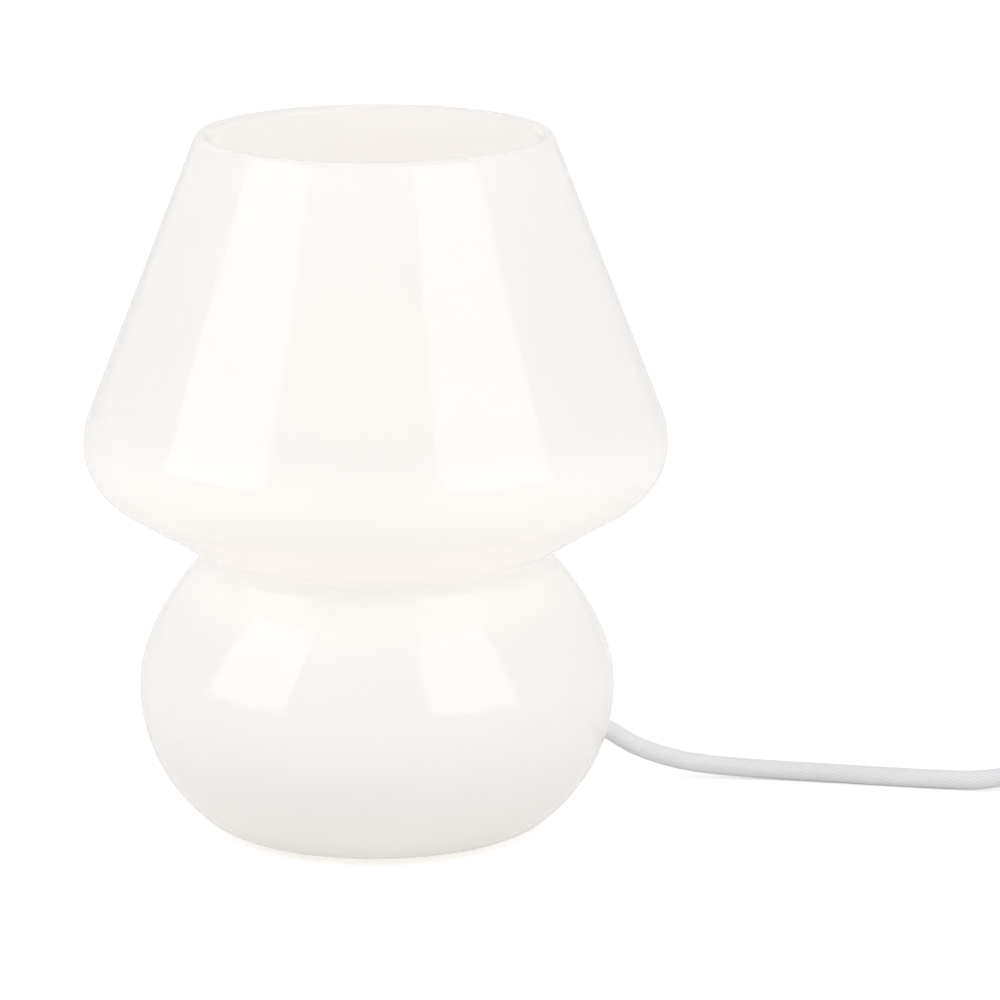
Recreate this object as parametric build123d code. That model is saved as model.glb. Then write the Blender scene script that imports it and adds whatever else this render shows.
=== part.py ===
from build123d import *
import math
import os
from collections import namedtuple

# A small mushroom table lamp: one blown opal-glass body (flared shade, waist and round base in one
# piece), a lampholder that hangs in the waist on a three-armed spider, and a textile cord with an
# in-line rocker switch and a flat two-pin plug.
# Millimetres, +Z up. The origin is on the lamp's axis, at the level that the foot pads stand on.
# The front is -Y. The cord leaves the base at the back right, +X and +Y.

# ---------------------------------------------------------------- driving dimensions
# Glass body, outside
overall_height = 199.4
shade_diameter = 165.0
base_diameter = 135.0
waist_diameter = 101.2
glass_wall = 3.4
flare_angle = 21.4           # how far the shade's side leans inwards from upright
underside_angle = 31.4       # slope of the shade's underside
foot_radius = 12.7           # arc from the flat foot ring to the belly
foot_turn = 39.0             # degrees that the foot arc turns
belly_radius = 46.9          # arc below the base's widest line
upper_belly_radius = 37.7    # arc above it
upper_belly_turn = 24.0
shoulder_radius = 77.4       # flatter arc up to the waist
waist_radius = 5.0           # hollow arc of the waist
skirt_radius = 18.7          # rolled lower edge of the shade
crown_radius = 23.2          # arc from the widest line into the straight side
punt_diameter = 52.0         # pushed-up middle of the bottom
punt_rise = 2.5

# Foot pads
pad_height = 1.5
pad_diameter = 10.0
pad_count = 4

# Cord and its hole
cord_diameter = 5.5
cord_clearance = 0.2         # round the cord in every bore
hole_azimuth = 28.0
hole_height = 22.5
grommet_neck = 9.6
grommet_flange = 14.0
flange_thickness = 1.8
fit_clearance = 0.25         # pieces that sit against the glass
inner_bend = 19.0            # bends of the cord inside the base
cord_drop = 4.0              # straight cord under the lampholder's cap
inner_sag = 3.7              # lowest stretch's height above the hole
cord_entry = 1.5             # cord's end above the cap's neck

# Spider and its sleeves
spider_thickness = 1.0
spider_ring_diameter = 37.0
arm_width = 9.0
arm_count = 3
arm_slope_length = 13.0
sleeve_length = 11.0
sleeve_width = 12.0
sleeve_thickness = 4.0
seat_gap = 0.45              # sleeve to glass

# Lampholder
holder_diameter = 28.0
holder_wall = 1.5
holder_rise = 10.0           # shell above the spider
holder_length = 34.0         # shell
lip_thickness = 2.0
lip_opening = 20.0
collar_diameter = 34.0
collar_thickness = 2.5
ring_diameter = 37.0
ring_height = 7.0
ring_notches = 12
cap_skirt = 6.0
cap_cone = 6.0
cap_neck = 6.0
cap_neck_diameter = 14.0
spigot_height = 4.0
spigot_wall = 2.0
slide_gap = 0.2              # between nested round pieces
block_height = 8.0
pocket_depth = 4.0
pocket_diameter = 12.5
sleeve_wall = 0.5
contact_sleeve_height = 19.0
contact_strip = 0.5
holder_screw_spacing = 15.0
holder_screw_diameter = 2.6
core_diameter = 2.0

# Bulb
globe_diameter = 45.0
globe_wall = 1.0
bulb_length = 78.0
bulb_cap_diameter = 13.6
bulb_cap_top = 22.0
bulb_cap_bottom = 3.6
bulb_seat = 24.5             # bulb's length below the holder's top
bulb_shoulder = 38.0         # where the globe starts, from the contact
board_diameter = 24.0
board_thickness = 1.6
chip_count = 6

# In-line switch
switch_length = 66.0
switch_width = 25.0
switch_end_width = 13.0
switch_height = 19.0
switch_wall = 1.8
switch_split = 9.5
switch_edge = 2.6
rocker_radius = 10.0
rocker_width = 11.0
rocker_tilt = 8.0            # each way from the middle
rocker_pivot_height = 15.2
rocker_gap = 0.3
trunnion_diameter = 2.5
lever_tilt = 5.0
lever_height = 4.6           # under the lever's middle
lever_thickness = 0.8
lever_half_length = 8.5
lever_width = 4.5
plunger_diameter = 3.0
plunger_reach = 9.5          # rocker's pivot to the plunger's tip
boss_reach = 7.0
cord_stub = 11.0             # cord inside the switch
strap_place = 25.5           # strap's distance from the switch's middle
strap_width = 5.0
strap_span = 11.0
strap_thickness = 1.2
strap_grip = 0.5             # cradle's top under the cord's middle
strap_screw_diameter = 1.7
strap_screw_offset = 4.2
screw_post = 4.4             # posts that the housing screws join
housing_screw_diameter = 2.2
screw_recess = 1.6
bearing_wall = 1.5           # walls that carry the rocker
bearing_length = 12.0
bearing_drop = 2.7           # of them below the pivot
rocker_underside = 2.2       # rocker's flat underside below its pivot
boss_diameter = 5.0
terminal_x = 14.5
terminal_length = 5.0
terminal_width = 6.0
terminal_height = 5.2
terminal_screw_diameter = 2.2
contact_strip_width = 4.0
contact_strip_thickness = 0.8
contact_x = 7.0              # silver dots from the lever's pivot
pivot_gap = 0.15             # ridge to lever
contact_gap = 1.0            # fixed contact's post under the lever's middle
link_y = 6.9
link_reach = 11.0
link_length = 28.0
link_width = 3.4
link_height = 4.5
core_bare_diameter = 1.6

# Flat two-pin plug
plug_width = 35.3
plug_height = 13.7
plug_length = 36.0
plug_neck_width = 14.0
relief_length = 22.0
pin_diameter = 4.0
pin_length = 19.0
pin_spacing = 18.6
pin_sleeve_length = 10.0
pin_sleeve_diameter = 3.6
pin_sleeve_wall = 0.35
pin_round = 1.2               # rounded tip
plug_edge = 2.4
plug_corner = 2.5
plug_shoulder = 0.62          # share of the length where the plug reaches full width
boot_grooves = 4
boot_groove_width = 1.8
boot_groove_depth = 0.9

# Put-away cord: a two-layer coil
coil_outer_radius = 43.5     # middle of the outermost turn
turn_pitch = 6.1
coil_half_turns = 7          # in each layer
tie_width = 10.0
tie_thickness = 1.0
tie_gap = 0.3
plug_offset = 34.0           # from the coil's middle to the plug's boot
end_level_run = 8.5          # level cord at each end of the short run to the plug

# ---------------------------------------------------------------- where the cord's pieces lie
switch_x, switch_y = 243.0, 28.0
coil_x, coil_back_y = 221.0, -33.0

# Route of the cord from the grommet down to the floor and along it to the switch. Its first two
# points and its last two are worked out from the grommet and the switch.
lead_points = [
    (73.0, 38.0, 11.9), (80.5, 40.5, 8.2), (89.0, 42.0, 5.4), (98.0, 42.8, 3.9), (109.0, 42.3, 3.1),
    (121.0, 40.6, 2.8), (134.0, 37.9, 2.75), (148.0, 34.9, 2.75), (162.0, 32.0, 2.75),
    (175.5, 29.7, 2.9), (189.0, 28.3, 5.7),
]
# Route from the switch to the coil, a half circle on the floor.
tail_points = [
    (302.5, 28.0, 8.9), (318.4, 16.4, 6.9), (324.5, -2.5, 5.0), (318.4, -21.4, 3.6), (302.5, -33.0, 2.8),
    (278.0, -33.6, 2.75), (254.5, -33.2, 3.3),
]

Bend = namedtuple("Bend", "x z radius start end")


# ---------------------------------------------------------------- helpers
def unit(heading):
    """Direction of a heading, in degrees, in the outline's plane."""
    return Vector(math.cos(math.radians(heading)), math.sin(math.radians(heading)))


def left_of(heading):
    return unit(heading + 90)


def cylinder_along(start, direction, length, diameter):
    """A round bar from a point along a direction."""
    return extrude(Plane(origin=start, z_dir=direction) * Circle(diameter / 2), amount=length)


def band(points, thickness):
    """Outline of a strip of even thickness to the left of a polyline, with mitred corners."""
    corners = [Vector(p) for p in points]
    runs = [(b - a).normalized() for a, b in zip(corners, corners[1:])]
    lefts = [Vector(-run.Y, run.X) for run in runs]
    offsets = [lefts[0]]
    for before, after in zip(lefts, lefts[1:]):
        offsets.append((before + after) * (1 / (1 + before.dot(after))))
    offsets.append(lefts[-1])
    upper = [corner + offset * thickness for corner, offset in zip(corners, offsets)]
    return make_face(Polyline(*corners, *reversed(upper), close=True))


def bend_radii(points):
    """Radius of each corner of a cord's route: 0.45 of its shorter run over the half turn's tangent."""
    radii = []
    for before, corner, after in zip(points, points[1:], points[2:]):
        run_in = Vector(corner) - Vector(before)
        run_out = Vector(after) - Vector(corner)
        half_turn = math.radians(run_in.get_angle(run_out) / 2)
        radii.append(0.45 * min(run_in.length, run_out.length) / math.tan(half_turn))
    return radii


def tube(name, path, diameter):
    """A round tube along a path, with its length and volume printed."""
    section = Plane(origin=path @ 0, z_dir=path % 0) * Circle(diameter / 2)
    solid = sweep(section, path=path)
    expected = math.pi * diameter**2 / 4 * path.length
    print(f"{name}: length {path.length:.1f}, volume {solid.volume:.0f} of {expected:.0f}")
    return solid


def route_tube(name, points):
    radii = bend_radii(points)
    print(f"{name}: radii", [round(radius) for radius in radii])
    return tube(name, FilletPolyline(*points, radius=radii), cord_diameter)


def turned(outline):
    """Solid of revolution about Z from an outline drawn as (radius, height)."""
    return revolve(Plane.XZ * outline, Axis.Z)


def turned_points(*points):
    return turned(make_face(Polyline(*points, close=True)))


def ring_of(outer, inner, bottom, top):
    """A plain ring between two heights."""
    ring = Pos(0, 0, bottom) * extrude(Circle(outer / 2) - Circle(inner / 2), amount=top - bottom)
    return ring


# ---------------------------------------------------------------- glass outline
def bend_end(bend):
    side = -1 if bend.end > bend.start else 1
    return Vector(bend.x, bend.z) + left_of(bend.end) * (side * bend.radius)


def follow(bend, radius, end):
    """The bend that goes on from another one, on the same side if it turns left."""
    side = 1 if end > bend.end else -1
    centre = bend_end(bend) + left_of(bend.end) * (side * radius)
    return Bend(centre.X, centre.Y, radius, bend.end, end)


def glass_bends():
    """The outer outline's arcs, from the foot ring up to the shade's straight side."""
    foot_x = base_diameter / 2 - belly_radius - (foot_radius - belly_radius) * math.sin(
        math.radians(foot_turn))
    foot = Bend(foot_x, pad_height + foot_radius, foot_radius, 0, foot_turn)
    belly = follow(foot, belly_radius, 90)
    upper = follow(belly, upper_belly_radius, 90 + upper_belly_turn)
    # The shoulder turns until the hollow arc after it just reaches the waist's diameter.
    upper_end = bend_end(upper)
    shoulder_centre = upper_end + left_of(upper.end) * shoulder_radius
    reach = (waist_diameter / 2 + waist_radius - shoulder_centre.X) / (shoulder_radius + waist_radius)
    shoulder = follow(upper, shoulder_radius, 180 - math.degrees(math.asin(reach)))
    waist = follow(shoulder, waist_radius, underside_angle)
    # The underside runs straight until the skirt's arc reaches the shade's widest line.
    slope = unit(underside_angle)
    skirt_gain = skirt_radius * (1 - math.sin(math.radians(underside_angle)))
    run = (shade_diameter / 2 - skirt_gain - bend_end(waist).X) / slope.X
    skirt_centre = bend_end(waist) + slope * run + left_of(underside_angle) * skirt_radius
    skirt = Bend(skirt_centre.X, skirt_centre.Y, skirt_radius, underside_angle, 90)
    crown = follow(skirt, crown_radius, 90 + flare_angle)
    return [foot, belly, upper, shoulder, waist, skirt, crown]


bends = glass_bends()
waist_bend = bends[4]


def outline_edges(inset):
    """The outline's arcs and straight runs, moved inwards by an inset, and its two ends."""
    edges = []
    last = None
    for bend in bends:
        convex = bend.end > bend.start
        radius = bend.radius - inset if convex else bend.radius + inset
        side = -1 if convex else 1
        start = Vector(bend.x, bend.z) + left_of(bend.start) * (side * radius)
        if last is not None and (start - last).length > 1e-5:
            edges.append(Line(last, start))
        angle = bend.start - 90 if convex else bend.start + 90
        edges.append(CenterArc((bend.x, bend.z), radius, angle, bend.end - bend.start))
        last = Vector(bend.x, bend.z) + left_of(bend.end) * (side * radius)
        if len(edges) == 1:
            first = start
    # The straight side runs up to the rim, whose crest is half a wall's round above its middle.
    lean = 90 + flare_angle
    rim_middle_height = overall_height - glass_wall / 2
    crown = bends[-1]
    outer_end = Vector(crown.x, crown.z) - left_of(lean) * crown.radius
    side_run = (rim_middle_height - (outer_end + left_of(lean) * (glass_wall / 2)).Y) / unit(lean).Y
    rim = last + unit(lean) * side_run
    edges.append(Line(last, rim))
    return edges, first, rim


def glass_shell(outer_inset, inner_inset):
    """The blown wall between two insets of the outline, closed at the rim by a half round."""
    outer, outer_foot, outer_rim = outline_edges(outer_inset)
    inner, inner_foot, inner_rim = outline_edges(inner_inset)
    lean = 90 + flare_angle
    rim_round = CenterArc((outer_rim + inner_rim) * 0.5, (outer_rim - inner_rim).length / 2,
                          lean - 90, 180)
    punt_radius = (punt_diameter**2 / 4 + punt_rise**2) / (2 * punt_rise)
    centre_height = pad_height + punt_rise - punt_radius
    floors = []
    tops = []
    for inset, foot in ((outer_inset, outer_foot), (inner_inset, inner_foot)):
        radius = punt_radius + inset
        rise = math.degrees(math.acos((foot.Y - centre_height) / radius))
        edge = Vector(radius * math.sin(math.radians(rise)), foot.Y)
        floors += [Line(foot, edge), CenterArc((0, centre_height), radius, 90 - rise, rise)]
        tops.append(Vector(0, centre_height + radius))
    axis = Line(tops[0], tops[1])
    return turned(make_face(outer + inner + floors + [rim_round, axis]))


def outer_radius_at(height):
    """Outer radius and outward tilt of the base at a height on the belly's arcs."""
    belly = bends[1] if height < bends[1].z else bends[2]
    rise = math.asin((height - belly.z) / belly.radius)
    return belly.x + belly.radius * math.cos(rise), math.degrees(rise)


# ---------------------------------------------------------------- places worked out from the outline
hole_radius, hole_tilt = outer_radius_at(hole_height)
azimuth = math.radians(hole_azimuth)
tilt = math.radians(hole_tilt)
hole_point = Vector(hole_radius * math.cos(azimuth), hole_radius * math.sin(azimuth), hole_height)
hole_normal = Vector(math.cos(tilt) * math.cos(azimuth), math.cos(tilt) * math.sin(azimuth), math.sin(tilt))
exit_point = hole_point + hole_normal * (fit_clearance + flange_thickness)

# Inner slope above the waist, where the spider's sleeves rest.
slope_start = Vector(waist_bend.x, waist_bend.z) + left_of(underside_angle) * (waist_bend.radius + glass_wall)
slope_run = unit(underside_angle)
waist_inner_radius = waist_diameter / 2 - glass_wall
arm_bend_radius = waist_inner_radius + 1.0
arm_lift = seat_gap + (sleeve_thickness - spider_thickness) / 2
spider_z = (slope_start.Y + (arm_bend_radius - slope_start.X) * slope_run.Y / slope_run.X
            + arm_lift / slope_run.X)

# Lampholder stack
holder_top = spider_z + spider_thickness + holder_rise
holder_split = holder_top - holder_length
block_bottom = holder_split + spigot_height
block_top = block_bottom + block_height
cap_bottom = holder_split - cap_skirt - cap_cone - cap_neck
bulb_z = holder_top - bulb_seat
cord_end_z = cap_bottom + cap_neck + cord_entry
screw_head_height = 1.8
screw_head_diameter = 5.0

print(f"spider {spider_z:.2f}, holder top {holder_top:.2f}, cap bottom {cap_bottom:.2f}, bulb {bulb_z:.2f}")
print(f"hole radius {hole_radius:.2f}, tilt {hole_tilt:.2f}, exit {exit_point}")


# ---------------------------------------------------------------- glass body, pads, grommet
def glass_body():
    body = glass_shell(0, glass_wall)
    drill_start = hole_point + hole_normal * glass_wall
    drill = cylinder_along(drill_start, hole_normal * -1, 4 * glass_wall, grommet_neck + 2 * fit_clearance)
    return body - drill


def foot_pads():
    ring_middle = (punt_diameter / 2 + bends[0].x) / 2
    pad = Pos(ring_middle, 0, 0) * extrude(Circle(pad_diameter / 2), amount=pad_height)
    pad = fillet(pad.edges().group_by(Axis.Z)[0], pad_height * 0.4)
    return [Rot(0, 0, (index + 0.5) * 360 / pad_count) * pad for index in range(pad_count)]


def cord_grommet():
    length = glass_wall + 2 * (flange_thickness + fit_clearance)
    back = hole_point - hole_normal * (glass_wall + flange_thickness + fit_clearance)
    blank = cylinder_along(back, hole_normal, length, grommet_flange)
    neck = cylinder_along(back, hole_normal, length, grommet_neck)
    groove = glass_shell(-fit_clearance, glass_wall + fit_clearance) - neck
    bore = cylinder_along(back, hole_normal, length, cord_diameter + 2 * cord_clearance)
    grommet = (blank - groove - bore).solids().sort_by(SortBy.VOLUME)[-1]
    outer_edge = grommet.edges().filter_by(GeomType.CIRCLE).sort_by(
        lambda edge: (edge.center() - exit_point).length + abs(edge.radius - grommet_flange / 2) * 9)[0]
    return fillet(outer_edge, flange_thickness * 0.5)


# ---------------------------------------------------------------- spider and sleeves
def arm_profile():
    tip = Vector(arm_bend_radius, spider_z) + slope_run * arm_slope_length
    inner = Vector(holder_diameter / 2 + 2, spider_z)
    return band([inner, (arm_bend_radius, spider_z), tip], spider_thickness)


def arm_blank():
    return Plane.XZ * extrude(arm_profile(), amount=arm_width / 2, both=True)


def holder_spider():
    ring = ring_of(spider_ring_diameter, holder_diameter + 2 * slide_gap, spider_z,
                   spider_z + spider_thickness)
    spider = ring
    for index in range(arm_count):
        spider += Rot(0, 0, 90 + index * 360 / arm_count) * arm_blank()
    return spider


def spider_sleeves():
    middle_run = arm_slope_length - sleeve_length / 2 + 1.0
    middle = Vector(arm_bend_radius, spider_z) + slope_run * middle_run
    middle += left_of(underside_angle) * (spider_thickness / 2)
    block = Box(sleeve_length, sleeve_width, sleeve_thickness)
    block = fillet(block.edges(), 0.9)
    sleeve = Pos(middle.X, 0, middle.Y) * Rot(0, -underside_angle, 0) * block - arm_blank()
    sleeve = sleeve.solids().sort_by(SortBy.VOLUME)[-1]
    return [Rot(0, 0, 90 + index * 360 / arm_count) * sleeve for index in range(arm_count)]


# ---------------------------------------------------------------- lampholder
def shade_ring():
    bottom = spider_z + spider_thickness
    ring = ring_of(ring_diameter, holder_diameter + 2 * slide_gap, bottom, bottom + ring_height)
    top_edge = ring.edges().group_by(Axis.Z)[-1].sort_by(SortBy.LENGTH)[-1]
    ring = fillet(top_edge, 1.2)
    for index in range(ring_notches):
        notch = Pos(ring_diameter / 2 + 0.9, 0, bottom + ring_height / 2) * Cylinder(1.6, ring_height + 2)
        ring -= Rot(0, 0, index * 360 / ring_notches) * notch
    return ring


def holder_shell():
    outer = holder_diameter / 2
    inner = outer - holder_wall
    collar = collar_diameter / 2
    collar_bottom = spider_z - collar_thickness
    shell = turned_points(
        (inner, holder_split), (outer, holder_split), (outer, collar_bottom), (collar, collar_bottom),
        (collar, spider_z), (outer, spider_z), (outer, holder_top), (lip_opening / 2, holder_top),
        (lip_opening / 2, holder_top - lip_thickness), (inner, holder_top - lip_thickness))
    rim = shell.edges().group_by(Axis.Z)[-1].sort_by(SortBy.LENGTH)[-1]
    return fillet(rim, 0.9)


def holder_cap():
    outer = holder_diameter / 2
    inner = outer - holder_wall
    spigot = inner - slide_gap
    cone_top = holder_split - cap_skirt
    cone_bottom = cone_top - cap_cone
    neck = cap_neck_diameter / 2
    bore = cord_diameter / 2 + cord_clearance
    cap = turned_points(
        (bore, cap_bottom), (neck, cap_bottom), (neck, cone_bottom), (outer, cone_top),
        (outer, holder_split), (spigot, holder_split), (spigot, block_bottom),
        (spigot - spigot_wall, block_bottom), (spigot - spigot_wall, cone_top),
        (bore, cone_bottom + holder_wall))
    screw_hole = cylinder_along((0, 0, cap_bottom + cap_neck / 2), (0, -1, 0), neck + 1, 3.0)
    return cap - screw_hole


def grip_screw():
    start = cord_diameter / 2 + 0.15
    length = cap_neck_diameter / 2 - start - 0.2
    screw = cylinder_along((0, -start, cap_bottom + cap_neck / 2), (0, -1, 0), length, 2.8)
    slot = Pos(0, -start - length, cap_bottom + cap_neck / 2) * Box(3.2, 1.0, 0.6)
    return screw - slot


def contact_block():
    inner = holder_diameter / 2 - holder_wall - slide_gap
    block = Pos(0, 0, block_bottom) * extrude(Circle(inner), amount=block_height)
    block -= Pos(0, 0, block_top - pocket_depth) * extrude(Circle(pocket_diameter / 2), amount=pocket_depth)
    for side in (-1, 1):
        place = Pos(side * holder_screw_spacing / 2, 0, block_bottom)
        block -= place * extrude(Circle(holder_screw_diameter / 2 + 0.1), amount=5.0)
    return block


def contact_sleeve():
    inner = bulb_cap_diameter / 2 + 0.3
    top = block_top + contact_sleeve_height
    sleeve = ring_of(2 * (inner + sleeve_wall), 2 * inner, block_top, top)
    return sleeve


def centre_contact():
    floor = block_top - pocket_depth
    top = bulb_z - 0.2 - contact_strip
    strip = band([(-5.0, floor), (-1.5, floor), (0.5, top), (3.5, top)], contact_strip)
    return Plane.XZ * extrude(strip, amount=1.6, both=True)


def holder_screws():
    screws = []
    for side in (-1, 1):
        x = side * holder_screw_spacing / 2
        head = Pos(x, 0, block_bottom - screw_head_height) * extrude(
            Circle(screw_head_diameter / 2), amount=screw_head_height)
        slot = Pos(x, 0, block_bottom - screw_head_height) * Box(0.8, screw_head_diameter + 1, 1.4)
        shank = Pos(x, 0, block_bottom) * extrude(Circle(holder_screw_diameter / 2), amount=4.5)
        screws.append(head - slot + shank)
    return screws


# ---------------------------------------------------------------- cord inside the base
def inner_cord():
    """From the lampholder's cap down, across the base in the hole's plane, and out through the grommet."""
    outwards = Vector(math.cos(azimuth), math.sin(azimuth), 0)
    # It hangs to just above the hole, or lower where the lampholder hangs lower.
    low = min(cap_bottom - inner_bend - cord_drop, hole_height + inner_sag)
    descent = 30.0
    top_run = inner_bend * math.tan(math.radians(45)) + inner_bend * math.tan(math.radians(descent / 2))
    second = top_run + 1.0
    # The hole's own line meets the 30 degree slope of the middle run.
    slope = math.tan(math.radians(descent))
    rise = -math.tan(tilt)
    third = (hole_height - low + rise * hole_radius + slope * second) / (slope + rise)
    third_height = low + slope * (third - second)
    points = [
        (0, 0, cord_end_z), (0, 0, low), outwards * second + Vector(0, 0, low),
        outwards * third + Vector(0, 0, third_height), exit_point]
    path = FilletPolyline(*points, radius=inner_bend)
    return tube("inner_cord", path, cord_diameter)


def cord_cores():
    cores = []
    reach = holder_screw_spacing / 2
    head_bottom = block_bottom - screw_head_height
    for side in (-1, 1):
        points = [
            (side * 1.3, 0, cord_end_z), (side * 1.3, 0, cord_end_z + 3.5),
            (side * reach, 0, head_bottom - 4.0), (side * reach, 0, head_bottom)]
        cores.append(tube("cord_core", FilletPolyline(*points, radius=2.4), core_diameter))
    return cores


# ---------------------------------------------------------------- bulb
def bulb_globe():
    outer = globe_diameter / 2
    inner = outer - globe_wall
    centre = bulb_z + bulb_length - outer
    shoulder = bulb_z + bulb_shoulder
    outer_start = math.degrees(math.asin((shoulder - centre) / outer))
    inner_start = math.degrees(math.asin((shoulder - centre) / inner))
    outside = CenterArc((0, centre), outer, outer_start, 90 - outer_start)
    inside = CenterArc((0, centre), inner, inner_start, 90 - inner_start)
    edges = [outside, inside, Line(outside @ 0, inside @ 0), Line(outside @ 1, inside @ 1)]
    return turned(make_face(edges))


def bulb_body():
    centre = bulb_z + bulb_length - globe_diameter / 2
    shoulder = bulb_z + bulb_shoulder
    top = math.sqrt(globe_diameter**2 / 4 - (centre - shoulder)**2)
    low = bulb_z + bulb_cap_top
    low_radius = bulb_cap_diameter / 2 + 1.2
    flank = ThreePointArc((low_radius, low), ((low_radius + top) / 2 - 0.9, (low + shoulder) / 2 + 0.6),
                          (top, shoulder))
    rest = Polyline((top, shoulder), (0, shoulder), (0, low), (low_radius, low))
    return turned(make_face([flank, *rest.edges()]))


def bulb_cap():
    radius = bulb_cap_diameter / 2
    bottom = bulb_z + bulb_cap_bottom
    top = bulb_z + bulb_cap_top
    return turned_points(
        (0, bottom), (radius - 1.8, bottom), (radius, bottom + 2.4), (radius, top - 1.0),
        (radius + 0.15, top), (0, top))


def bulb_insulator():
    bottom = bulb_z + 1.0
    top = bulb_z + bulb_cap_bottom
    return turned_points((0, bottom), (2.6, bottom), (bulb_cap_diameter / 2 - 1.9, top), (0, top))


def bulb_contact():
    return turned_points((0, bulb_z), (1.6, bulb_z), (2.4, bulb_z + 1.0), (0, bulb_z + 1.0))


def led_board():
    place = Pos(0, 0, bulb_z + bulb_shoulder)
    return place * extrude(Circle(board_diameter / 2), amount=board_thickness)


def led_chips():
    place = bulb_z + bulb_shoulder + board_thickness
    chip = Pos(board_diameter / 2 - 4.0, 0, place + 0.4) * Box(2.8, 3.5, 0.8)
    return [Rot(0, 0, index * 360 / chip_count) * chip for index in range(chip_count)]


# ---------------------------------------------------------------- in-line switch, about its own middle
switch_place = Pos(switch_x, switch_y, 0)


def switch_plan(inset):
    """A long lens with cut ends: two shallow arcs and two straight ends."""
    half_length = switch_length / 2 - inset
    end = switch_end_width / 2 - inset
    middle = switch_width / 2 - inset
    return make_face([
        ThreePointArc((-half_length, end), (0, middle), (half_length, end)),
        Line((half_length, end), (half_length, -end)),
        ThreePointArc((half_length, -end), (0, -middle), (-half_length, -end)),
        Line((-half_length, -end), (-half_length, end))])


def switch_outside():
    block = extrude(switch_plan(0), amount=switch_height)
    block = fillet(block.edges().filter_by(Axis.Z), 3.0)
    rims = block.edges().group_by(Axis.Z)[0] + block.edges().group_by(Axis.Z)[-1]
    return fillet(rims, switch_edge)


def switch_cavity():
    inside = extrude(switch_plan(switch_wall), amount=switch_height - 2 * switch_wall)
    return Pos(0, 0, switch_wall) * inside


def cord_bores():
    bore = Rot(0, 90, 0) * Cylinder(cord_diameter / 2 + cord_clearance, switch_length + 2)
    return Pos(0, 0, switch_split) * bore


housing_screw_places = ((19.5, 6.2), (-19.5, -6.2))
cradle_top = switch_split - strap_grip
strap_top = switch_split + cord_diameter / 2 + strap_thickness
terminal_top = switch_wall + terminal_height


def switch_base():
    lower = Pos(0, 0, switch_split / 2) * Box(switch_length + 2, switch_width + 2, switch_split)
    base = (switch_outside() & lower) - switch_cavity()
    for x, y in housing_screw_places:
        post = extrude(Circle(screw_post / 2), amount=switch_split - switch_wall)
        base += Pos(x, y, switch_wall) * post
        shank_hole = extrude(Circle(housing_screw_diameter / 2 + slide_gap), amount=switch_height)
        base -= Pos(x, y, -1) * shank_hole
        base -= Pos(x, y, 0) * extrude(Circle(housing_screw_diameter + 0.1), amount=screw_recess)
    for side in (-1, 1):
        cradle = Box(strap_width, strap_span, cradle_top - switch_wall)
        base += Pos(side * strap_place, 0, (cradle_top + switch_wall) / 2) * cradle
        for across in (-1, 1):
            hole = Pos(side * strap_place, across * strap_screw_offset, cradle_top - 4.2)
            base -= hole * extrude(Circle(strap_screw_diameter / 2 + 0.05), amount=6)
    return (base & switch_outside()) - cord_bores()


def rocker_frame():
    """Two bearing walls beside the rocker's window, with the trunnions' holes."""
    half_gap = rocker_width / 2 + slide_gap
    frame_bottom = rocker_pivot_height - bearing_drop
    height = switch_height - switch_wall - frame_bottom
    wall = Box(bearing_length, bearing_wall, height)
    walls = Pos(0, half_gap + bearing_wall / 2, frame_bottom + height / 2) * wall
    walls += Pos(0, -half_gap - bearing_wall / 2, frame_bottom + height / 2) * wall
    return walls


def switch_cover():
    upper_height = switch_height - switch_split
    upper = Box(switch_length + 2, switch_width + 2, upper_height)
    upper = Pos(0, 0, switch_split + upper_height / 2) * upper
    cover = (switch_outside() & upper) - switch_cavity()
    cover += rocker_frame()
    for x, y in housing_screw_places:
        post = extrude(Circle(screw_post / 2), amount=upper_height - switch_wall / 2)
        cover += Pos(x, y, switch_split) * post
        cover -= Pos(x, y, switch_split - 1) * extrude(Circle(housing_screw_diameter / 2 + 0.05), amount=6.5)
    window = Box(2 * (rocker_radius + rocker_gap), rocker_width + 2 * slide_gap, 2 * switch_wall + 2)
    cover -= Pos(0, 0, switch_height) * window
    trunnions = Rot(90, 0, 0) * Cylinder(trunnion_diameter / 2 + slide_gap, rocker_width + 6)
    cover -= Pos(0, 0, rocker_pivot_height) * trunnions
    return cover - cord_bores()


def rocker_turn(degrees):
    """Turn about the rocker's pivot line; positive presses the +X end."""
    pivot = Pos(0, 0, rocker_pivot_height)
    return pivot * Rot(0, degrees, 0) * pivot.inverse()


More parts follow.
